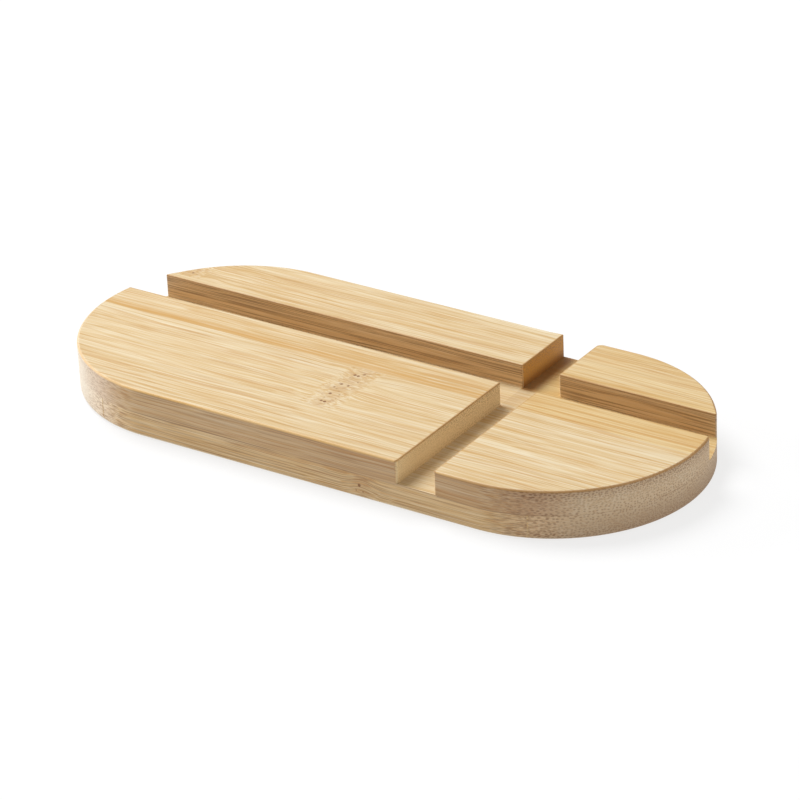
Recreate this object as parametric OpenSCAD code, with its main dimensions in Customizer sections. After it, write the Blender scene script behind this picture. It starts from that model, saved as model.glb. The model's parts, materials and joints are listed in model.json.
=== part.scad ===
// Phone stand: a flat bamboo board with round ends and two crossing grooves.
// The board is glued up from strips in two plies, then cut to its outline and grooved.
// Millimetres. The origin is the centre of the underside, +Z is up, +X runs along the board
// towards the end with the cross groove, and +Y towards the side with the long groove.

/* [Board] */
// Length of the board, end to end
board_length = 200; // [150:1:300]
// Width of the board, and the diameter of its round ends
board_width = 88; // [82:1:140]

/* [Plies] */
// Thickness of the upper ply
upper_ply_thickness = 7.5; // [4:0.1:12]
// Thickness of the lower ply
lower_ply_thickness = 7.5; // [4:0.1:12]
// Full width of one bamboo strip
strip_width = 25.8; // [18:0.1:28]
// Width of the front strip of the upper ply, where the outline trims it
upper_front_strip_width = 16.2; // [6:0.1:25]
// Width of the front strip of the lower ply, where the outline trims it
lower_front_strip_width = 2.7; // [2:0.1:9]

/* [Grooves] */
// Depth of both grooves
groove_depth = 7.2; // [4:0.1:10]
// Width of the groove that runs along the board
long_groove_width = 12; // [6:0.1:16]
// Place of the long groove's centre line, from the board's centre line
long_groove_y = 15.5; // [-25:0.1:25]
// Width of the groove that runs across the board
cross_groove_width = 12; // [6:0.1:16]
// Place of the cross groove's centre line, from the middle of the board
cross_groove_x = 37.5; // [-45:0.1:45]

/* [Edges] */
// Radius of the rounded rim around the top
top_rim_radius = 0.8; // [0.2:0.1:2]
// Radius of the rounded rim around the underside
bottom_rim_radius = 1.5; // [0.2:0.1:2]
// Radius of the rounded lips of the grooves, and of the four corners where they cross
lip_radius = 0.4; // [0.1:0.1:1]

/* [Hidden] */
$fn = 96;

board_thickness = upper_ply_thickness + lower_ply_thickness;
end_radius = board_width / 2;
end_centre_x = board_length / 2 - end_radius;
groove_floor_z = board_thickness - groove_depth;
overcut = 2;

// Strips are counted from the front. Each list is the glue joints between them, front to back.
upper_strip_count = 4;
lower_strip_count = 5;
upper_joints = glue_joints(upper_front_strip_width, upper_strip_count);
lower_joints = glue_joints(lower_front_strip_width, lower_strip_count);

// Bamboo tones of the strips, front to back
upper_tones = ["#EBD3A4", "#EDD6AA", "#E6C993", "#E9CF9C"];
lower_tones = ["#C9AB80", "#CDB088", "#C6A77C", "#CBAD84", "#C8A97F"];

function glue_joints(front_width, count) =
    [for (i = [0 : count - 2]) front_width + i * strip_width - board_width / 2];

// What is cut away outside a rounded corner, with the arc's centre at the origin
module corner_waste(radius) {
    difference() {
        square(radius + overcut);
        circle(radius);
    }
}

// Half of the board's section, from its centre line to its edge, with both rims rounded
module half_section() {
    difference() {
        square([end_radius, board_thickness]);
        translate([end_radius - top_rim_radius, board_thickness - top_rim_radius])
            corner_waste(top_rim_radius);
        translate([end_radius - bottom_rim_radius, bottom_rim_radius])
            mirror([0, 1])
            corner_waste(bottom_rim_radius);
    }
}

// The whole board before it is grooved
module board_blank() {
    translate([-end_centre_x, 0, 0])
        rotate([90, 0, 90])
        linear_extrude(2 * end_centre_x) {
            half_section();
            mirror([1, 0]) half_section();
        }
    translate([end_centre_x, 0, 0])
        rotate([0, 0, -90])
        rotate_extrude(angle = 180)
        half_section();
    translate([-end_centre_x, 0, 0])
        rotate([0, 0, 90])
        rotate_extrude(angle = 180)
        half_section();
}

// Section of a groove, standing on its floor, with its two lips rounded
module groove_section(width) {
    translate([-width / 2, 0])
        square([width, groove_depth + overcut]);
    difference() {
        translate([-width / 2 - lip_radius, groove_depth - lip_radius])
            square([width + 2 * lip_radius, lip_radius + overcut]);
        for (side = [-1, 1])
            translate([side * (width / 2 + lip_radius), groove_depth - lip_radius])
                circle(lip_radius);
    }
}

module long_groove() {
    translate([-board_length / 2 - overcut, long_groove_y, groove_floor_z])
        rotate([90, 0, 90])
        linear_extrude(board_length + 2 * overcut)
        groove_section(long_groove_width);
}

module cross_groove() {
    translate([cross_groove_x, board_width / 2 + overcut, groove_floor_z])
        rotate([90, 0, 0])
        linear_extrude(board_width + 2 * overcut)
        groove_section(cross_groove_width);
}

// Rounds the four upright corners where the grooves cross
module crossing() {
    half_x = cross_groove_width / 2 + lip_radius;
    half_y = long_groove_width / 2 + lip_radius;
    translate([cross_groove_x, long_groove_y, groove_floor_z])
        linear_extrude(groove_depth + overcut)
        difference() {
            square([2 * half_x, 2 * half_y], center = true);
            for (x = [-half_x, half_x], y = [-half_y, half_y])
                translate([x, y]) circle(lip_radius);
        }
}

// The part of the board between two glue joints and two heights
module strip(front_y, back_y, low_z, high_z) {
    difference() {
        intersection() {
            board_blank();
            translate([-board_length / 2 - overcut, front_y, low_z])
                cube([board_length + 2 * overcut, back_y - front_y, high_z - low_z]);
        }
        long_groove();
        cross_groove();
        crossing();
    }
}

// Front and back limits of strip i, counted from 1: a glue joint, or past the board's edge
function front_limit(joints, i) = i == 1 ? -end_radius - overcut : joints[i - 2];
function back_limit(joints, i) = i > len(joints) ? end_radius + overcut : joints[i - 1];

module upper_strip(i) {
    color(upper_tones[i - 1])
        strip(front_limit(upper_joints, i), back_limit(upper_joints, i),
              lower_ply_thickness, board_thickness + overcut);
}

module lower_strip(i) {
    color(lower_tones[i - 1])
        strip(front_limit(lower_joints, i), back_limit(lower_joints, i),
              -overcut, lower_ply_thickness);
}

upper_strip(1);  // upper_strip_1
upper_strip(2);  // upper_strip_2
upper_strip(3);  // upper_strip_3
upper_strip(4);  // upper_strip_4
lower_strip(1);  // lower_strip_1
lower_strip(2);  // lower_strip_2
lower_strip(3);  // lower_strip_3
lower_strip(4);  // lower_strip_4
lower_strip(5);  // lower_strip_5
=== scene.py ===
"""Looks of a phone stand: a grooved board of nine glued bamboo strips, on a pale floor.

Metres, in the frame's own axes: +X runs along the board towards the cross groove, +Y towards the
side with the long groove, and +Z is up. Sizes inside the wood's pattern are in millimetres.
"""

import json
import math

import bmesh
import bpy
from mathutils import Matrix, Vector


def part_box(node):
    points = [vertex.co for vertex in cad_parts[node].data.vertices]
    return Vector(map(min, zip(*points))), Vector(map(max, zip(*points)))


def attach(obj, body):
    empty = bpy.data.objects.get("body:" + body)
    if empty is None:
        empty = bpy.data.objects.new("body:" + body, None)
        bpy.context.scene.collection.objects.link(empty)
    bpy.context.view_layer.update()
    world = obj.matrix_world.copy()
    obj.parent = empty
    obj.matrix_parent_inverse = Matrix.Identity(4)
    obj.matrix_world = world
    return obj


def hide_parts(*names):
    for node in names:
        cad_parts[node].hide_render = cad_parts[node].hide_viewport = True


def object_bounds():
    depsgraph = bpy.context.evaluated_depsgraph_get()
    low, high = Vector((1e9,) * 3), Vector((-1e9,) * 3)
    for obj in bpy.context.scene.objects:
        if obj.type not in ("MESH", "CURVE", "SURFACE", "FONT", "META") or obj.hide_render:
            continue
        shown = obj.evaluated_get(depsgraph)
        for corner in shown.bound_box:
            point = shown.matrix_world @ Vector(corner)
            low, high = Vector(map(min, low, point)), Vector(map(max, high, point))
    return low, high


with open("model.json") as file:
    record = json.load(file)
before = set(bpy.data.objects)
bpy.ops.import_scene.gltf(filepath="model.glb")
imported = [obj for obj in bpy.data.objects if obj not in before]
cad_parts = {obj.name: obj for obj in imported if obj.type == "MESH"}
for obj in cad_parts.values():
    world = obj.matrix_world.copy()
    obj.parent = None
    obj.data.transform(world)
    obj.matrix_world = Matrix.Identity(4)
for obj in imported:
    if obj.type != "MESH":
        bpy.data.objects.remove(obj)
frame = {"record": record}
cad_low, cad_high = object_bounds()

MM = 0.001

# Radii of the board's edges: its two rims, the grooves' lips, and the upright corners where the
# grooves cross
TOP_RIM = 0.8 * MM
BOTTOM_RIM = 1.5 * MM
LIP = 0.3 * MM
CROSSING_CORNER = 0.5 * MM

# Radii of the upright corners where the grooves leave the board, for each of the four islands: at the
# long groove's end, and at the cross groove's. Hand sanding has left them uneven.
EXIT_CORNERS = {
    (-1, -1): (0.8 * MM, 0.8 * MM),
    (-1, 1): (0.35 * MM, 0.35 * MM),
    (1, -1): (1.1 * MM, 0.6 * MM),
    (1, 1): (0.4 * MM, 2.0 * MM),
}
# How far along the outline the rim takes to grow from a tight corner's radius to its own
RIM_RUN = 4 * MM

# How finely the round shapes are stepped, the round ends in degrees
END_STEP = 1.25
RIM_STEPS = 8
CORNER_STEPS = 8

OPENING_CLEARANCE = 0.1 * MM
SHARP_ANGLE = math.radians(35)
# Edges shorter than this are closed up after the strips are cut apart
SLIVER = 0.001 * MM

UPPER_COUNT = 4
LOWER_COUNT = 5


# ---------------------------------------------------------------- sizes read from the frame

def groove_sizes():
    """Each groove's two walls, across its own run, and the height of the floor."""
    walls = {}
    for opening in frame["record"]["physics"]["openings"]:
        low, high = opening["box_m"]
        axis = 1 if opening["name"] == "long_groove" else 0
        walls[opening["name"]] = (low[axis] - OPENING_CLEARANCE, high[axis] + OPENING_CLEARANCE)
        floor_z = low[2] - OPENING_CLEARANCE
    return walls["long_groove"], walls["cross_groove"], floor_z


BOARD_TOP = cad_high.z
END_RADIUS = (cad_high.y - cad_low.y) / 2
HALF_STRAIGHT = (cad_high.x - cad_low.x) / 2 - END_RADIUS
PLY_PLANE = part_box("upper_strip_1")[0].z
(LONG_FRONT, LONG_BACK), (CROSS_LEFT, CROSS_RIGHT), FLOOR_Z = groove_sizes()


# ---------------------------------------------------------------- mesh tools

def to_object(mesh, name):
    """Turns a bmesh into an object of the scene."""
    data = bpy.data.meshes.new(name)
    mesh.to_mesh(data)
    mesh.free()
    made = bpy.data.objects.new(name, data)
    bpy.context.scene.collection.objects.link(made)
    return made


def apply_modifiers(piece):
    """Replaces a piece's mesh by what its modifiers make of it."""
    evaluated = piece.evaluated_get(bpy.context.evaluated_depsgraph_get())
    data = bpy.data.meshes.new_from_object(evaluated)
    piece.modifiers.clear()
    piece.data = data


# ---------------------------------------------------------------- the whole board

class Edge:
    """One corner point of an outline: its place, the way out, and the radius of the rim above it."""

    def __init__(self, place, outward, rim):
        self.place = Vector(place)
        self.outward = Vector(outward)
        self.rim = rim

    def mirrored(self, side_x, side_y):
        turn = Vector((side_x, side_y))
        return Edge(self.place * turn, self.outward * turn, self.rim)

    def inset(self, distance, z):
        place = self.place - self.outward * distance
        return Vector((place.x, place.y, z))


def arc(centre, radius, start, end, steps, rims):
    """Edge points on an arc, both ends included, from angle to angle in degrees.

    The rim's radius goes from the first of rims to the second.
    """
    points = []
    for step in range(steps + 1):
        share = step / steps
        angle = math.radians(start + (end - start) * share)
        outward = Vector((math.cos(angle), math.sin(angle)))
        rim = rims[0] + (rims[1] - rims[0]) * share
        points.append(Edge(Vector(centre) + radius * outward, outward, rim))
    return points


def grow_rim(outline, first_rim):
    """Widens the rim from first_rim to its full radius over the first stretch of an outline."""
    run = 0.0
    for before, edge in zip(outline, outline[1:]):
        run += (edge.place - before.place).length
        edge.rim = min(edge.rim, first_rim + (TOP_RIM - first_rim) * run / RIM_RUN)
    outline[0].rim = first_rim


def island(side_x, side_y):
    """The outline of one raised part of the board, counter-clockwise: (inner part, outer part).

    side_x is 1 to the right of the cross groove and -1 to its left, and side_y is 1 behind the long
    groove and -1 in front of it. It is drawn as if both were 1, and then mirrored.
    """
    wall_x = side_x * (CROSS_RIGHT if side_x > 0 else CROSS_LEFT)
    wall_y = side_y * (LONG_BACK if side_y > 0 else LONG_FRONT)
    end_radius, side_radius = EXIT_CORNERS[side_x, side_y]
    end_rim, side_rim = min(end_radius, TOP_RIM), min(side_radius, TOP_RIM)
    reach = END_RADIUS - end_radius
    turn = math.degrees(math.asin((wall_y + end_radius) / reach))
    end_corner = (HALF_STRAIGHT + reach * math.cos(math.radians(turn)), wall_y + end_radius)
    crossing = arc((wall_x + CROSSING_CORNER, wall_y + CROSSING_CORNER), CROSSING_CORNER,
                   180, 270, CORNER_STEPS, (LIP, LIP))
    end_exit = arc(end_corner, end_radius, -90, turn, CORNER_STEPS, (LIP, end_rim))
    end_steps = math.ceil((90 - turn) / END_STEP)
    round_end = arc((HALF_STRAIGHT, 0), END_RADIUS, turn, 90, end_steps, (TOP_RIM, TOP_RIM))
    grow_rim(round_end, end_rim)
    side_exit = arc((wall_x + side_radius, END_RADIUS - side_radius), side_radius,
                    90, 180, CORNER_STEPS, (side_rim, LIP))
    full_rim = Edge(side_exit[0].place + Vector((RIM_RUN, 0)), (0, 1), TOP_RIM)
    outer = round_end + [full_rim] + side_exit[:1]
    inner = side_exit[1:] + crossing + end_exit[:-1]
    inner = [edge.mirrored(side_x, side_y) for edge in inner]
    outer = [edge.mirrored(side_x, side_y) for edge in outer]
    if side_x * side_y < 0:
        inner.reverse()
        outer.reverse()
    return inner, outer


def exit_gap(before, after):
    """Points of the board's edge across a groove's mouth, between two islands."""
    first, last = before.place, after.place
    if abs(first.y - last.y) < abs(first.x - last.x):
        return []
    side = math.copysign(1, first.x)
    centre = Vector((side * HALF_STRAIGHT, 0))
    start = math.degrees(math.atan2(*reversed(first - centre)))
    sweep = math.degrees((first - centre).angle_signed(last - centre))
    steps = math.ceil(abs(sweep) / END_STEP)
    return arc(centre, END_RADIUS, start, start - sweep, steps, (TOP_RIM, TOP_RIM))[1:-1]


def bridge(mesh, below, above):
    """Joins two closed rings of as many corners by a band of faces."""
    for i in range(len(below)):
        j = (i + 1) % len(below)
        mesh.faces.new((below[i], below[j], above[j], above[i]))


def raise_island(mesh, edges, ring):
    """Builds an island's walls, its rounded rim and its flat top on the ring of its foot."""
    for step in range(RIM_STEPS + 1):
        angle = math.pi / 2 * step / RIM_STEPS
        rise = 1 - math.sin(angle)
        draw_in = 1 - math.cos(angle)
        above = [mesh.verts.new(e.inset(e.rim * draw_in, BOARD_TOP - e.rim * rise)) for e in edges]
        bridge(mesh, ring, above)
        ring = above
    mesh.faces.new(ring)


def sink_base(mesh, edges, ring):
    """Builds the board's side below the grooves' floor, its rounded lower rim and its underside."""
    for step in range(RIM_STEPS + 1):
        angle = math.pi / 2 * step / RIM_STEPS
        draw_in = BOTTOM_RIM * (1 - math.cos(angle))
        height = BOTTOM_RIM * (1 - math.sin(angle))
        below = [mesh.verts.new(e.inset(draw_in, height)) for e in edges]
        bridge(mesh, below, ring)
        ring = below
    mesh.faces.new(reversed(ring))


def grooved_board():
    """The whole board in one closed mesh: a base and the four islands between the grooves."""
    mesh = bmesh.new()
    islands = [island(*sides) for sides in ((1, -1), (1, 1), (-1, 1), (-1, -1))]
    side_edges, side_ring, floor_ring = [], [], []
    for index, (inner, outer) in enumerate(islands):
        gap = exit_gap(islands[index - 1][1][-1], outer[0])
        gap_ring = [mesh.verts.new(edge.inset(0, FLOOR_Z)) for edge in gap]
        inner_ring = [mesh.verts.new(edge.inset(0, FLOOR_Z)) for edge in inner]
        outer_ring = [mesh.verts.new(edge.inset(0, FLOOR_Z)) for edge in outer]
        raise_island(mesh, inner + outer, inner_ring + outer_ring)
        side_edges += gap + outer
        side_ring += gap_ring + outer_ring
        floor_ring += gap_ring + outer_ring[:1] + inner_ring[::-1] + outer_ring[-1:]
    mesh.faces.new(floor_ring)
    sink_base(mesh, side_edges, side_ring)
    return mesh


# ---------------------------------------------------------------- the strips

def slice_off(mesh, place, outward):
    """Cuts off what lies beyond a plane, and closes the cut with one flat face."""
    everything = mesh.verts[:] + mesh.edges[:] + mesh.faces[:]
    cut = bmesh.ops.bisect_plane(
        mesh, geom=everything, plane_co=place, plane_no=outward, clear_outer=True)
    rim = [e for e in cut["geom_cut"] if isinstance(e, bmesh.types.BMEdge)]
    filled = bmesh.ops.contextual_create(mesh, geom=rim)
    for face in filled["faces"]:
        face.smooth = False


def mark_sharp_edges(mesh):
    for face in mesh.faces:
        face.smooth = True
    for edge in mesh.edges:
        edge.smooth = edge.calc_face_angle(math.pi) < SHARP_ANGLE


def strip_cuts(node):
    """The planes that part one strip from its neighbours: (a point, the way out)."""
    low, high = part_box(node)
    tolerance = 0.01 * MM
    if low.y > cad_low.y + tolerance:
        yield low, Vector((0, -1, 0))
    if high.y < cad_high.y - tolerance:
        yield high, Vector((0, 1, 0))
    if low.z > cad_low.z + tolerance:
        yield low, Vector((0, 0, -1))
    if high.z < cad_high.z - tolerance:
        yield high, Vector((0, 0, 1))


def make_strip(board, node, material):
    """One bamboo strip: the board between its glue joints."""
    mesh = board.copy()
    for place, outward in strip_cuts(node):
        slice_off(mesh, place, outward)
    bmesh.ops.dissolve_degenerate(mesh, dist=SLIVER, edges=mesh.edges)
    bmesh.ops.recalc_face_normals(mesh, faces=mesh.faces)
    mark_sharp_edges(mesh)
    strip = to_object(mesh, "bamboo_" + node)
    strip.data.materials.append(material)
    normals = strip.modifiers.new("even_shading", "WEIGHTED_NORMAL")
    normals.keep_sharp = True
    apply_modifiers(strip)
    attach(strip, "root")
    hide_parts(node)
    return strip


# ---------------------------------------------------------------- node tools

class Graph:
    """A material's node tree, with one short method for each kind of node."""

    def __init__(self, material):
        self.nodes = material.node_tree.nodes
        self.links = material.node_tree.links

    def add(self, kind, **settings):
        node = self.nodes.new(kind)
        for name, value in settings.items():
            setattr(node, name, value)
        return node

    def feed(self, socket, value):
        """Links an output to an input, or sets the input to a plain value."""
        if isinstance(value, bpy.types.NodeSocket):
            self.links.new(value, socket)
        else:
            socket.default_value = value

    def math(self, operation, first, second=0.0, third=0.0):
        node = self.add("ShaderNodeMath", operation=operation)
        for socket, value in zip(node.inputs, (first, second, third)):
            self.feed(socket, value)
        return node.outputs[0]

    def add_up(self, *terms):
        total = terms[0]
        for term in terms[1:]:
            total = self.math("ADD", total, term)
        return total

    def multiply(self, *factors):
        total = factors[0]
        for factor in factors[1:]:
            total = self.math("MULTIPLY", total, factor)
        return total

    def step(self, value, low, high):
        """Rises smoothly from 0 at low to 1 at high. With low above high it falls."""
        node = self.add("ShaderNodeMapRange", interpolation_type="SMOOTHSTEP", clamp=True)
        rising = low < high
        self.feed(node.inputs["Value"], value)
        node.inputs["From Min"].default_value = min(low, high)
        node.inputs["From Max"].default_value = max(low, high)
        node.inputs["To Min"].default_value = 0.0 if rising else 1.0
        node.inputs["To Max"].default_value = 1.0 if rising else 0.0
        return node.outputs["Result"]

    def step_near(self, value, place, low, high):
        """The same step between two distances from a place, which is given in metres."""
        return self.step(value, place / MM + low, place / MM + high)

    def rest_of(self, value):
        """What is left of 1."""
        return self.math("SUBTRACT", 1.0, value)

    def spread(self, value):
        """Moves a value that lies around a half to around zero."""
        return self.math("SUBTRACT", value, 0.5)

    def vector(self, operation, first, second):
        node = self.add("ShaderNodeVectorMath", operation=operation)
        self.feed(node.inputs[0], first)
        self.feed(node.inputs[1], second)
        return node.outputs["Vector"]

    def scaled(self, vector, factor):
        node = self.add("ShaderNodeVectorMath", operation="SCALE")
        self.feed(node.inputs[0], vector)
        self.feed(node.inputs["Scale"], factor)
        return node.outputs["Vector"]

    def split(self, vector):
        node = self.add("ShaderNodeSeparateXYZ")
        self.feed(node.inputs[0], vector)
        return node.outputs

    def join(self, x, y, z):
        node = self.add("ShaderNodeCombineXYZ")
        for socket, value in zip(node.inputs, (x, y, z)):
            self.feed(socket, value)
        return node.outputs[0]

    def noise(self, place, stretch, detail=2.0, roughness=0.5, output="Fac"):
        """Noise whose features are as many millimetres long as stretch says, on each axis."""
        node = self.add("ShaderNodeTexNoise", noise_dimensions="3D")
        self.feed(node.inputs["Vector"], self.vector("DIVIDE", place, stretch))
        node.inputs["Scale"].default_value = 1.0
        node.inputs["Detail"].default_value = detail
        node.inputs["Roughness"].default_value = roughness
        return node.outputs[output]

    def cells(self, place, stretch):
        """Distance to the nearest of the points scattered one to each cell of this size."""
        node = self.add("ShaderNodeTexVoronoi", voronoi_dimensions="3D", feature="F1")
        self.feed(node.inputs["Vector"], self.vector("DIVIDE", place, stretch))
        node.inputs["Scale"].default_value = 1.0
        return node.outputs["Distance"]

    def ramp(self, value, stops):
        node = self.add("ShaderNodeValToRGB")
        elements = node.color_ramp.elements
        for _ in range(len(stops) - 2):
            elements.new(0.5)
        for element, (position, colour) in zip(elements, stops):
            element.position = position
            element.color = (*colour, 1.0)
        self.feed(node.inputs["Fac"], value)
        return node.outputs["Color"]

    def mix(self, factor, first, second, blend="MIX"):
        node = self.add("ShaderNodeMix", data_type="RGBA", blend_type=blend, clamp_factor=True)
        self.feed(node.inputs["Factor"], factor)
        self.feed(node.inputs[6], first)
        self.feed(node.inputs[7], second)
        return node.outputs[2]


# ---------------------------------------------------------------- bamboo

# Linear colours of the wood
GRAIN_TONES = (
    (0.20, (0.445, 0.255, 0.080)),
    (0.38, (0.535, 0.370, 0.170)),
    (0.50, (0.580, 0.438, 0.245)),
    (0.64, (0.620, 0.505, 0.320)),
    (0.80, (0.650, 0.555, 0.385)),
)
END_TONE = (0.535, 0.392, 0.272, 1)
# Painted glare: the pale, washed-out tone of the left end
GLARE_END_TONE = (0.800, 0.765, 0.710, 1)
# End grain cut by the cross groove: its own golden tone, lightened and warmed by painted bounce light
CUT_END_WITH_BOUNCE = (0.690, 0.515, 0.275, 1)
# Painted shade on the cut wall behind the crossing
SHADED_WALL_END = (0.490, 0.220, 0.022, 1)
BUNDLE_BROWN = (0.230, 0.130, 0.065, 1)
HAIR_ORANGE = (0.460, 0.250, 0.080, 1)
LINE_ORANGE = (0.480, 0.260, 0.060, 1)
WALL_TONE = (0.565, 0.425, 0.235, 1)
WALL_BROWN = (0.200, 0.095, 0.030, 1)
# Painted shadow at the foot of the cross groove's left wall
FOOT_SHADOW_BROWN = (0.210, 0.075, 0.008, 1)
STAIN_BROWN = (0.370, 0.190, 0.065, 1)
SPECK_BROWN = (0.170, 0.060, 0.010, 1)
GLUE_BROWN = (0.260, 0.140, 0.060, 1)
RIM_GOLD = (0.620, 0.360, 0.100, 1)
LIP_BROWN = (0.380, 0.190, 0.050, 1)
# Painted highlight on the upright corners where the grooves cross
CORNER_HIGHLIGHT = (0.760, 0.570, 0.350, 1)

# What colours are multiplied by: a groove's long walls (painted light), a warm stretch (also painted
# shade on the groove floor behind the crossing), the outer sides (painted light), and the outer side of
# a duller strip
WALL_LIGHT_TINT = (1.220, 1.095, 0.990, 1)
WARM_TINT = (0.960, 0.870, 0.640, 1)
SIDE_LIGHT_TINT = (1.130, 1.045, 0.950, 1)
DULL_TINT = (0.790, 0.730, 0.720, 1)

# Sizes of the pattern's features along x, y and z, in millimetres
SWAY = (45.0, 12.0, 12.0)
CURL = (13.0, 5.0, 5.0)
KNUCKLE_WANDER = (60.0, 9.0, 9.0)
STREAKS = (70.0, 0.8, 0.5)
BROAD_STREAKS = (150.0, 6.0, 6.0)
FIBRES = (16.0, 0.34, 0.25)
HAIRS = (48.0, 0.62, 0.4)
FINE_LINES = (30.0, 0.8, 0.27)
BUNDLE_PATCHES = (30.0, 1.4, 1.4)
FLECKS = (5.0, 0.6, 0.6)
DOTS = (2.0, 2.0, 2.0)
GLUE_PATCHES = (28.0, 28.0, 28.0)

# How far the fibres sway, and how far they curl near a knuckle, in millimetres
SWAY_REACH = (0.0, 2.2, 1.2)
CURL_REACH = (0.0, 2.4, 0.5)
KNUCKLE_REACH = 34.0

# Distance between bundles near the strip's skin and deeper down, in millimetres
DENSE_PITCH = 0.62
SPARSE_PITCH = 0.80

# Where each cast sets in and where it is full, in millimetres along the board. The first two are
# painted glare on the left end, the third is painted shade on the right end
GLARE_RUN = (-52.0, -70.0)
FAINT_RUN = (-50.0, -58.0)
END_SHADE_RUN = (72.0, 98.0)
DULL_RUN = (-50.0, 30.0)
WARM_RUN = (32.0, 48.0)
BROWNED_RUN = (40.0, 60.0)
# The same across the board: where bundles grow clearer, and where the front's painted glare stops
CLEAR_RUN = (-32.0, -4.0)
GLARE_FRONT_END = (-22.0, 0.0)
# And over its height: how far up the painted shade on the right end reaches
END_SHADE_RISE = (11.0, 2.0)

# How far a strip's pattern is moved from the one before, so that no two are alike, in millimetres
SEED_STEP = Vector((53.0, 17.0, 29.0))

SHINE = 0.45
BUMP_STRENGTH = 0.5
BUMP_HEIGHT = 0.06 * MM

# What sets one strip apart. The knuckle is its place along the strip. Lines are dark streaks, each
# (place across the board, half width, strength, from, to along the board), in millimetres. Warm is the
# strength of the orange cast to the right of the cross groove, dull how grey the outer side is, lined
# how dark the fine lines on it are, and glued where the glue line shows along the side.
PLAIN = {"shift": 0.0, "knuckle": None, "lines": (), "warm": 0.0, "lined": 0.48,
         "dull": 0.0, "glued": None}
STRIPS = {
    "upper_strip_1": {"dull": 1.0, "lined": 0.28, "glued": (-59, -11), "lines": (
        (-30.2, 0.4, 0.3, 40, 100), (-36.8, 0.35, 0.5, 40, 70), (-38.6, 0.35, 0.45, 40, 80))},
    "upper_strip_2": {"shift": 0.02, "knuckle": -6.0, "lines": (
        (-2.8, 0.5, 0.5, 70, 100), (-13.5, 0.5, 0.4, 40, 56), (-20.4, 0.35, 0.6, 40, 100),
        (-25.0, 0.3, 0.7, 40, 100), (-26.4, 0.3, 0.4, 40, 70))},
    "upper_strip_3": {"warm": 0.8, "lines": (
        (-0.7, 1.7, 0.9, -105, 35), (5.2, 4.2, 0.22, -105, 105),
        (4.9, 0.3, 0.4, -20, 100), (3.2, 0.3, 0.5, -20, 100),
        (1.7, 0.3, 0.6, -30, 100), (-0.8, 0.4, 0.8, 40, 105))},
    "upper_strip_4": {"shift": -0.01, "knuckle": -88.5, "warm": 0.5, "lines": (
        (37.3, 0.4, 0.5, -60, 5), (30.8, 0.4, 0.5, -60, 10), (27.6, 0.3, 0.4, -70, 0))},
    "lower_strip_1": {"knuckle": 20.0, "glued": (-59, -11)},
    "lower_strip_4": {"shift": -0.03},
}


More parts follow.
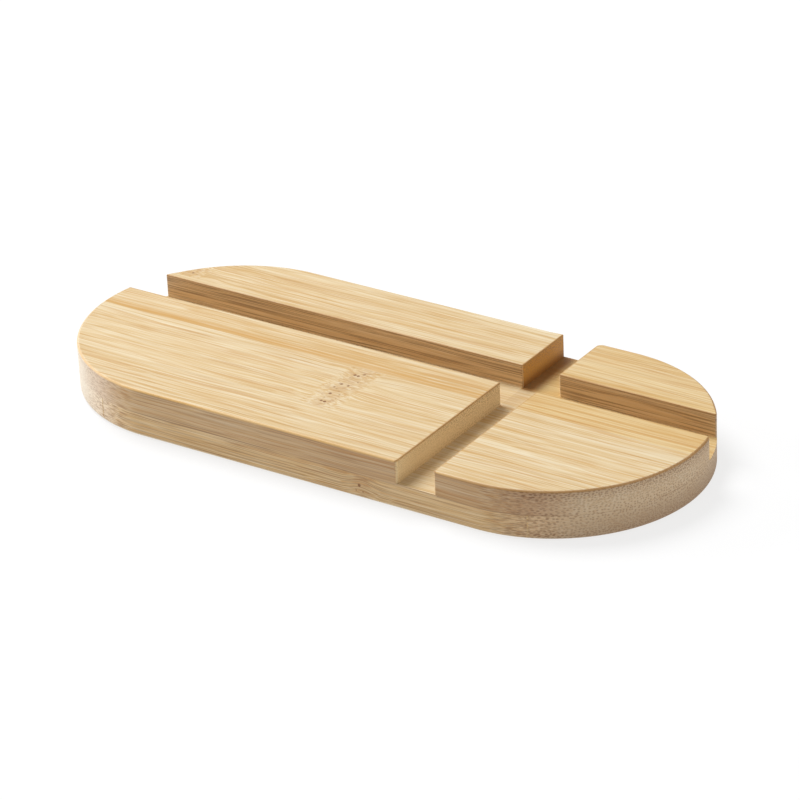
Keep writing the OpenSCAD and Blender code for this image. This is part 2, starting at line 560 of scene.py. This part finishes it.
class Bamboo:
    """The procedural material of one strip."""

    def __init__(self, node, order):
        self.node = node
        self.about = {**PLAIN, **STRIPS.get(node, {})}
        self.material = bpy.data.materials.new(node.replace("strip", "bamboo"))
        self.material.use_nodes = True
        self.graph = Graph(self.material)
        low, high = (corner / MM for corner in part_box(node))
        self.outer_z = high.z if node.startswith("upper") else low.z
        self.build(order)

    def build(self, order):
        g = self.graph
        centre = g.add("ShaderNodeTexCoord").outputs["Object"]
        place = g.scaled(centre, 1 / MM)
        self.x, self.y, self.z = g.split(place)
        self.seeded = g.vector("ADD", place, order * SEED_STEP)
        self.find_faces()
        self.find_knuckle()
        self.find_grain()
        colour = self.colour()
        shader = g.nodes["Principled BSDF"]
        g.feed(shader.inputs["Base Color"], colour)
        g.feed(shader.inputs["Roughness"], self.roughness())
        g.feed(shader.inputs["Normal"], self.bump())
        shader.inputs["Specular IOR Level"].default_value = SHINE

    def find_faces(self):
        """How far each point lies on end grain, on a long side, on a rounded edge or in a groove."""
        g = self.graph
        nx, ny, nz = g.split(g.add("ShaderNodeTexCoord").outputs["Normal"])
        self.end_grain = g.step(g.math("ABSOLUTE", nx), 0.05, 0.45)
        self.along = g.rest_of(self.end_grain)
        self.side_grain = g.step(g.math("ABSOLUTE", ny), 0.75, 0.97)
        self.rim = g.multiply(g.step(nz, 0.1, 0.5), g.step(nz, 0.99, 0.85))
        self.facing_up = g.step(nz, 0.5, 0.9)
        self.in_cross, cross_lip = self.inside(self.x, CROSS_LEFT, CROSS_RIGHT)
        self.in_long, long_lip = self.inside(self.y, LONG_FRONT, LONG_BACK)
        top = g.step_near(self.z, BOARD_TOP, -0.7, -0.3)
        self.lip = g.multiply(g.math("MAXIMUM", cross_lip, long_lip), top)
        # Painted highlight on the upright corners where the grooves cross
        slant = g.step(g.math("ABSOLUTE", g.multiply(nx, ny)), 0.42, 0.49)
        self.corner_highlight = g.multiply(slant, self.in_cross, self.in_long)
        self.behind = g.step_near(self.y, LONG_BACK, -1.5, -0.5)
        # Painted glare, strongest at the front of the left end and fading towards the back
        self.glare_front = g.math("MULTIPLY_ADD", g.step(self.y, *GLARE_FRONT_END), -0.6, 1.0)
        self.wall = g.multiply(self.side_grain, self.in_long)
        self.outer_side = g.multiply(self.side_grain, g.rest_of(self.in_long))
        self.outer_end = g.multiply(self.end_grain, g.rest_of(self.in_cross))

    def inside(self, across, low, high):
        """Two masks of a groove: between its walls and just past them, and close to either wall."""
        g = self.graph
        off = g.math("ABSOLUTE", g.math("SUBTRACT", across, (low + high) / 2 / MM))
        wall = (high - low) / 2 / MM
        from_wall = g.math("ABSOLUTE", g.math("SUBTRACT", off, wall))
        return g.step(off, wall + 1.0, wall + 0.6), g.step(from_wall, 0.65, 0.25)

    def find_knuckle(self):
        """Distance along the strip from its knuckle, whose line wanders across the strip."""
        g = self.graph
        if self.about["knuckle"] is None:
            self.from_knuckle = None
            return
        wander = g.noise(self.seeded, KNUCKLE_WANDER)
        centre = g.math("MULTIPLY_ADD", g.spread(wander), 6.0, self.about["knuckle"])
        self.from_knuckle = g.math("ABSOLUTE", g.math("SUBTRACT", self.x, centre))
        self.near_knuckle = g.step(self.from_knuckle, KNUCKLE_REACH, 3.0)

    def find_grain(self):
        """Coordinates that follow the fibres: they sway a little, and curl around the knuckle."""
        g = self.graph
        bend = self.drift(SWAY, SWAY_REACH)
        if self.from_knuckle is not None:
            curl = self.drift(CURL, CURL_REACH)
            bend = g.vector("ADD", bend, g.scaled(curl, self.near_knuckle))
            peak = g.step(self.from_knuckle, 7.0, 0.0)
            bend = g.vector("ADD", bend, g.join(0.0, 0.0, g.multiply(peak, -1.0)))
        self.bend_y = g.split(bend)[1]
        self.grain = g.vector("ADD", self.seeded, bend)
        self.streak = g.noise(self.grain, STREAKS, detail=3.0, roughness=0.75)
        self.broad = g.noise(self.grain, BROAD_STREAKS, detail=1.0)
        self.fibre = g.noise(self.grain, FIBRES, detail=1.0)
        self.hairs = g.step(g.noise(self.grain, HAIRS, detail=1.0), 0.57, 0.66)
        depth = g.math("ABSOLUTE", g.math("SUBTRACT", self.z, self.outer_z))
        self.outer = g.step(depth, 6.5, 0.5)
        self.skin = g.step(depth, 3.2, 0.3)
        self.bundles = self.bundle_layer(DENSE_PITCH, self.outer, 0.44, 0.20)
        self.sparse_bundles = self.bundle_layer(SPARSE_PITCH, g.rest_of(self.outer), 0.38, 0.16)

    def drift(self, size, reach):
        """A slow random shift, up to about half of reach either way."""
        g = self.graph
        noise = g.noise(self.seeded, size, detail=1.0, output="Color")
        return g.vector("MULTIPLY", g.vector("SUBTRACT", noise, (0.5, 0.5, 0.5)), reach)

    def bundle_layer(self, pitch, share, edge, core):
        """Vascular bundles: dots across the grain, and lines along it.

        Each fades in from edge to core, in parts of the pitch from its centre.
        """
        g = self.graph
        _, y, z = g.split(self.grain)
        node = g.add("ShaderNodeTexVoronoi", voronoi_dimensions="2D", feature="F1")
        g.feed(node.inputs["Vector"], g.scaled(g.join(y, z, 0.0), 1 / pitch))
        node.inputs["Scale"].default_value = 1.0
        node.inputs["Randomness"].default_value = 0.7
        return g.multiply(g.step(node.outputs["Distance"], edge, core), share)

    def colour(self):
        g = self.graph
        contrast = g.math("MULTIPLY_ADD", self.outer, 0.4, 0.8)
        shade = g.add_up(
            g.multiply(g.spread(self.streak), contrast),
            g.multiply(g.spread(self.broad), 0.3),
            g.multiply(g.spread(self.fibre), 0.5),
            0.5 + self.about["shift"])
        colour = g.ramp(shade, GRAIN_TONES)
        colour = g.mix(g.multiply(self.hairs, 0.55), colour, HAIR_ORANGE)
        colour = self.with_end_tone(colour)
        colour = self.with_bundles(colour)
        for line in self.about["lines"]:
            colour = g.mix(self.line(*line), colour, LINE_ORANGE)
        if self.from_knuckle is not None:
            colour = self.with_knuckle(colour)
        colour = self.with_walls(colour)
        colour = self.with_casts(colour)
        colour = self.with_edges(colour)
        return g.mix(self.glue(), colour, GLUE_BROWN)

    def with_end_tone(self, colour):
        """The even tone of end grain: painted glare at the front left; where cut, golden with painted
        bounce light, and painted shade behind the crossing.
        """
        g = self.graph
        # Painted glare on the left end
        self.glare = g.multiply(g.step(self.x, *GLARE_RUN), self.glare_front)
        # Painted shade on the cut wall behind the crossing, left of the groove's middle
        left_wall = g.step(self.x, CROSS_RIGHT / MM - 5.0, CROSS_LEFT / MM + 5.0)
        wall_shade = g.multiply(self.behind, left_wall)
        tone = g.mix(self.glare, END_TONE, GLARE_END_TONE)
        # Where cut, the end grain is golden, partly painted bounce light
        tone = g.mix(self.in_cross, tone, g.mix(wall_shade, CUT_END_WITH_BOUNCE, SHADED_WALL_END))
        toned = g.multiply(self.end_grain, g.math("MULTIPLY_ADD", self.in_cross, 0.35, 0.55))
        return g.mix(toned, colour, tone)

    def with_bundles(self, colour):
        """Dark bundles, clearest on end grain and faint under the painted glare, the darker skin, and
        painted shade low on the right end.
        """
        g = self.graph
        patches = g.step(g.noise(self.grain, BUNDLE_PATCHES), 0.36, 0.62)
        on_side = g.math("MULTIPLY_ADD", self.in_long, 0.35, 0.33)
        face_share = g.multiply(patches, g.math("MULTIPLY_ADD", self.side_grain, on_side, 0.12))
        # Bundles fade under the painted glare on the left end, and partly on the cross groove's walls
        left = g.multiply(g.step(self.x, *FAINT_RUN), self.glare_front)
        faint = g.math("MAXIMUM", left, g.multiply(self.in_cross, 0.7))
        clear = g.math("MULTIPLY_ADD", g.step(self.y, *CLEAR_RUN), 0.28, 0.66)
        clearness = g.math("SUBTRACT", clear, g.multiply(faint, 0.54))
        share = g.math("MULTIPLY_ADD", self.end_grain, clearness, face_share)
        bundles = g.math("MAXIMUM", self.bundles, g.multiply(self.sparse_bundles, 0.7))
        colour = g.mix(g.multiply(bundles, share), colour, BUNDLE_BROWN)
        skin_share = g.math("MULTIPLY_ADD", self.glare, -0.2, 0.3)
        colour = g.mix(g.multiply(self.skin, self.outer_end, skin_share), colour, BUNDLE_BROWN)
        # Painted shade: the right end darker towards the bottom
        end_shade = g.multiply(g.step(self.x, *END_SHADE_RUN), g.step(self.z, *END_SHADE_RISE))
        return g.mix(g.multiply(end_shade, self.outer_end, 0.46), colour, BUNDLE_BROWN)

    def with_walls(self, colour):
        """The grooves' long walls, lightened by painted light, painted shadow at the foot of the cross
        groove's left wall, painted shade on the floor behind the crossing, and the fine lines on the
        sides.
        """
        g = self.graph
        lines = g.step(g.noise(self.grain, FINE_LINES, detail=1.0), 0.49, 0.61)
        colour = g.mix(g.multiply(self.wall, 0.55), colour, WALL_TONE)
        # Painted light: the long walls are lightened and warmed
        colour = g.mix(self.wall, colour, WALL_LIGHT_TINT, blend="MULTIPLY")
        colour = g.mix(g.multiply(self.wall, lines, 0.6), colour, WALL_BROWN)
        # Painted shadow on the floor along the foot of the cross groove's left wall, darkest behind the
        # crossing
        foot = g.multiply(g.step_near(self.z, FLOOR_Z, -0.4, -0.1),
                          g.step_near(self.z, FLOOR_Z, 4.0, 0.0),
                          g.step_near(self.x, CROSS_LEFT, -0.5, -0.1),
                          g.step_near(self.x, CROSS_LEFT, 6.5, 2.0))
        foot_shadow = g.multiply(foot, g.math("MULTIPLY_ADD", self.behind, 0.68, 0.12))
        colour = g.mix(foot_shadow, colour, FOOT_SHADOW_BROWN)
        # Painted shade on the groove floor behind the crossing
        floor_shade = g.multiply(self.behind, self.in_cross, self.facing_up,
                            g.step_near(self.z, BOARD_TOP, -1.0, -2.0))
        colour = g.mix(floor_shade, colour, WARM_TINT, blend="MULTIPLY")
        return g.mix(g.multiply(self.outer_side, lines, self.about["lined"]), colour, WALL_BROWN)

    def with_casts(self, colour):
        """The casts of the outer sides, lighter and warmer with painted light, and of this strip."""
        g = self.graph
        # Painted light: the outer sides are lighter and warmer
        colour = g.mix(self.outer_side, colour, SIDE_LIGHT_TINT, blend="MULTIPLY")
        if self.about["dull"]:
            duller_right = g.math("MULTIPLY_ADD", g.step(self.x, *DULL_RUN), 0.28, 0.72)
            dull = g.multiply(self.outer_side, duller_right, self.about["dull"])
            colour = g.mix(dull, colour, DULL_TINT, blend="MULTIPLY")
        if self.about["warm"]:
            warm = g.multiply(g.step(self.x, *WARM_RUN), self.facing_up, self.about["warm"])
            colour = g.mix(warm, colour, WARM_TINT, blend="MULTIPLY")
        return colour

    def with_edges(self, colour):
        """Handled edges: golden on the left, browner on the right and along the grooves, and a painted
        highlight on the upright corners where the grooves cross.
        """
        g = self.graph
        in_groove = g.math("MAXIMUM", self.in_cross, self.in_long)
        browned = g.math("MAXIMUM", in_groove, g.step(self.x, *BROWNED_RUN))
        handled = g.multiply(self.rim, g.math("MULTIPLY_ADD", browned, 0.2, 0.6))
        colour = g.mix(handled, colour, g.mix(browned, RIM_GOLD, LIP_BROWN))
        colour = g.mix(g.multiply(self.lip, 0.5), colour, LIP_BROWN)
        # Painted highlight on the upright corners where the grooves cross
        return g.mix(g.multiply(self.corner_highlight, 0.6), colour, CORNER_HIGHLIGHT)

    def line(self, across, half_width, strength, start, end):
        """One dark streak, which follows the sway of the grain and fades at both ends."""
        g = self.graph
        off = g.math("ABSOLUTE", g.math("SUBTRACT", g.math("ADD", self.y, self.bend_y), across))
        body = g.step(off, half_width * 1.6, half_width * 0.3)
        inside = g.multiply(g.step(self.x, start - 4, start + 4), g.step(self.x, end + 4, end - 4))
        broken = g.step(self.streak, 0.9, 0.35)
        return g.multiply(body, inside, broken, self.along, strength)

    def with_knuckle(self, colour):
        """A knuckle: a faint band across the strip, with flecks along the grain and small dots."""
        g = self.graph
        band = g.multiply(g.step(self.from_knuckle, 4.0, 0.5), self.along, 0.20)
        flecks = g.step(g.noise(self.grain, FLECKS, detail=1.0), 0.54, 0.66)
        flecks = g.multiply(g.step(self.from_knuckle, 6.5, 1.5), flecks, self.along, 0.62)
        colour = g.mix(g.math("MAXIMUM", band, flecks), colour, STAIN_BROWN)
        dots = g.step(g.cells(self.seeded, DOTS), 0.32, 0.18)
        dots = g.multiply(dots, g.step(self.from_knuckle, 2.2, 1.4), self.along, 0.88)
        return g.mix(dots, colour, SPECK_BROWN)

    def glue(self):
        """A thin dark line where this strip meets its neighbours, in places, fainter if upright."""
        g = self.graph
        line = 0.0
        for place, outward in strip_cuts(self.node):
            upright = outward.z == 0
            across = self.y if upright else self.z
            where = place.y if upright else place.z
            off = g.math("ABSOLUTE", g.math("SUBTRACT", across, where / MM))
            strength = 0.4 if upright else 1.0
            line = g.math("MAXIMUM", line, g.multiply(g.step(off, 0.26, 0.05), strength))
        seen = g.step(g.noise(self.seeded, GLUE_PATCHES), 0.5, 0.65)
        if self.about["glued"]:
            start, end = self.about["glued"]
            stretch = g.multiply(g.step(self.x, start - 4, start + 2), g.step(self.x, end + 4, end - 2))
            seen = g.math("MAXIMUM", seen, stretch)
        elsewhere = g.rest_of(g.math("MAXIMUM", self.in_cross, self.glare))
        return g.multiply(line, elsewhere, g.math("MULTIPLY_ADD", seen, 0.75, 0.05))

    def roughness(self):
        g = self.graph
        fine = g.multiply(g.spread(self.fibre), 0.25)
        return g.add_up(0.5, fine, g.multiply(self.end_grain, 0.15))

    def bump(self):
        g = self.graph
        height = g.add_up(
            g.multiply(self.fibre, 0.5),
            g.multiply(self.streak, 0.5),
            g.multiply(self.bundles, -0.25))
        node = g.add("ShaderNodeBump")
        node.inputs["Strength"].default_value = BUMP_STRENGTH
        node.inputs["Distance"].default_value = BUMP_HEIGHT
        g.feed(node.inputs["Height"], height)
        return node.outputs["Normal"]


# ---------------------------------------------------------------- floor, light and camera

FLOOR_SIZE = 4
FLOOR_GREY = (0.2, 0.2, 0.2, 1)
# The floor gives off some light of its own, so that it reads as white
FLOOR_GLOW = 0.74

WORLD_LIGHT = 0.42
# Each light's place, diameter and power. All are aimed at the middle of the board.
LIGHTS = {
    "key": ((-1.25, 0.3, 1.9), 1.4, 54),
    "side": ((-1.9, -0.4, 0.5), 1.0, 20),
    "fill": ((1.6, 0.4, 1.1), 1.0, 9),
}

# The photo's camera, as fitted to the board's outline and edges
CAMERA_AZIMUTH = math.radians(34.48)
CAMERA_ELEVATION = math.radians(27.27)
CAMERA_ROLL = math.radians(-2.645)
CAMERA_TARGET = Vector((-0.00386, 0.01073, 0))
CAMERA_DISTANCE = 1.132
CAMERA_LENS = 176.85
CAMERA_SENSOR = 36


def make_floor():
    mesh = bmesh.new()
    bmesh.ops.create_grid(mesh, x_segments=1, y_segments=1, size=FLOOR_SIZE)
    floor = to_object(mesh, "floor")
    material = bpy.data.materials.new("floor")
    material.use_nodes = True
    shader = material.node_tree.nodes["Principled BSDF"]
    shader.inputs["Base Color"].default_value = FLOOR_GREY
    shader.inputs["Roughness"].default_value = 1.0
    shader.inputs["Specular IOR Level"].default_value = 0.0
    shader.inputs["Emission Color"].default_value = (1, 1, 1, 1)
    shader.inputs["Emission Strength"].default_value = FLOOR_GLOW
    floor.data.materials.append(material)


def area_light(name, place, size, power):
    data = bpy.data.lights.new(name, "AREA")
    data.shape = "DISK"
    data.size = size
    data.energy = power
    light = bpy.data.objects.new(name, data)
    light.location = place
    light.rotation_mode = "QUATERNION"
    light.rotation_quaternion = (-Vector(place)).to_track_quat("-Z", "Y")
    bpy.context.scene.collection.objects.link(light)


def make_light():
    scene = bpy.context.scene
    world = bpy.data.worlds.new("studio")
    world.use_nodes = True
    world.node_tree.nodes["Background"].inputs["Color"].default_value = (1, 1, 1, 1)
    world.node_tree.nodes["Background"].inputs["Strength"].default_value = WORLD_LIGHT
    scene.world = world
    scene.view_settings.view_transform = "Standard"
    for name, (place, size, power) in LIGHTS.items():
        area_light(name, place, size, power)


def make_camera():
    level_share, rise = math.cos(CAMERA_ELEVATION), math.sin(CAMERA_ELEVATION)
    across, along = math.sin(CAMERA_AZIMUTH), math.cos(CAMERA_AZIMUTH)
    back = Vector((across * level_share, -along * level_share, rise))
    level = Vector((along, across, 0))
    upright = back.cross(level)
    right = math.cos(CAMERA_ROLL) * level + math.sin(CAMERA_ROLL) * upright
    up = math.cos(CAMERA_ROLL) * upright - math.sin(CAMERA_ROLL) * level
    data = bpy.data.cameras.new("camera")
    data.sensor_width = CAMERA_SENSOR
    data.lens = CAMERA_LENS
    data.clip_start, data.clip_end = 0.05, 20
    camera = bpy.data.objects.new("camera", data)
    camera.matrix_world = Matrix((right, up, back)).transposed().to_4x4()
    camera.location = CAMERA_TARGET + back * CAMERA_DISTANCE
    bpy.context.scene.collection.objects.link(camera)
    bpy.context.scene.camera = camera


# ---------------------------------------------------------------- the scene

def strip_nodes():
    uppers = [f"upper_strip_{i + 1}" for i in range(UPPER_COUNT)]
    lowers = [f"lower_strip_{i + 1}" for i in range(LOWER_COUNT)]
    return uppers + lowers


make_camera()
make_floor()
make_light()
board = grooved_board()
for order, node in enumerate(strip_nodes()):
    make_strip(board, node, Bamboo(node, order).material)
board.free()
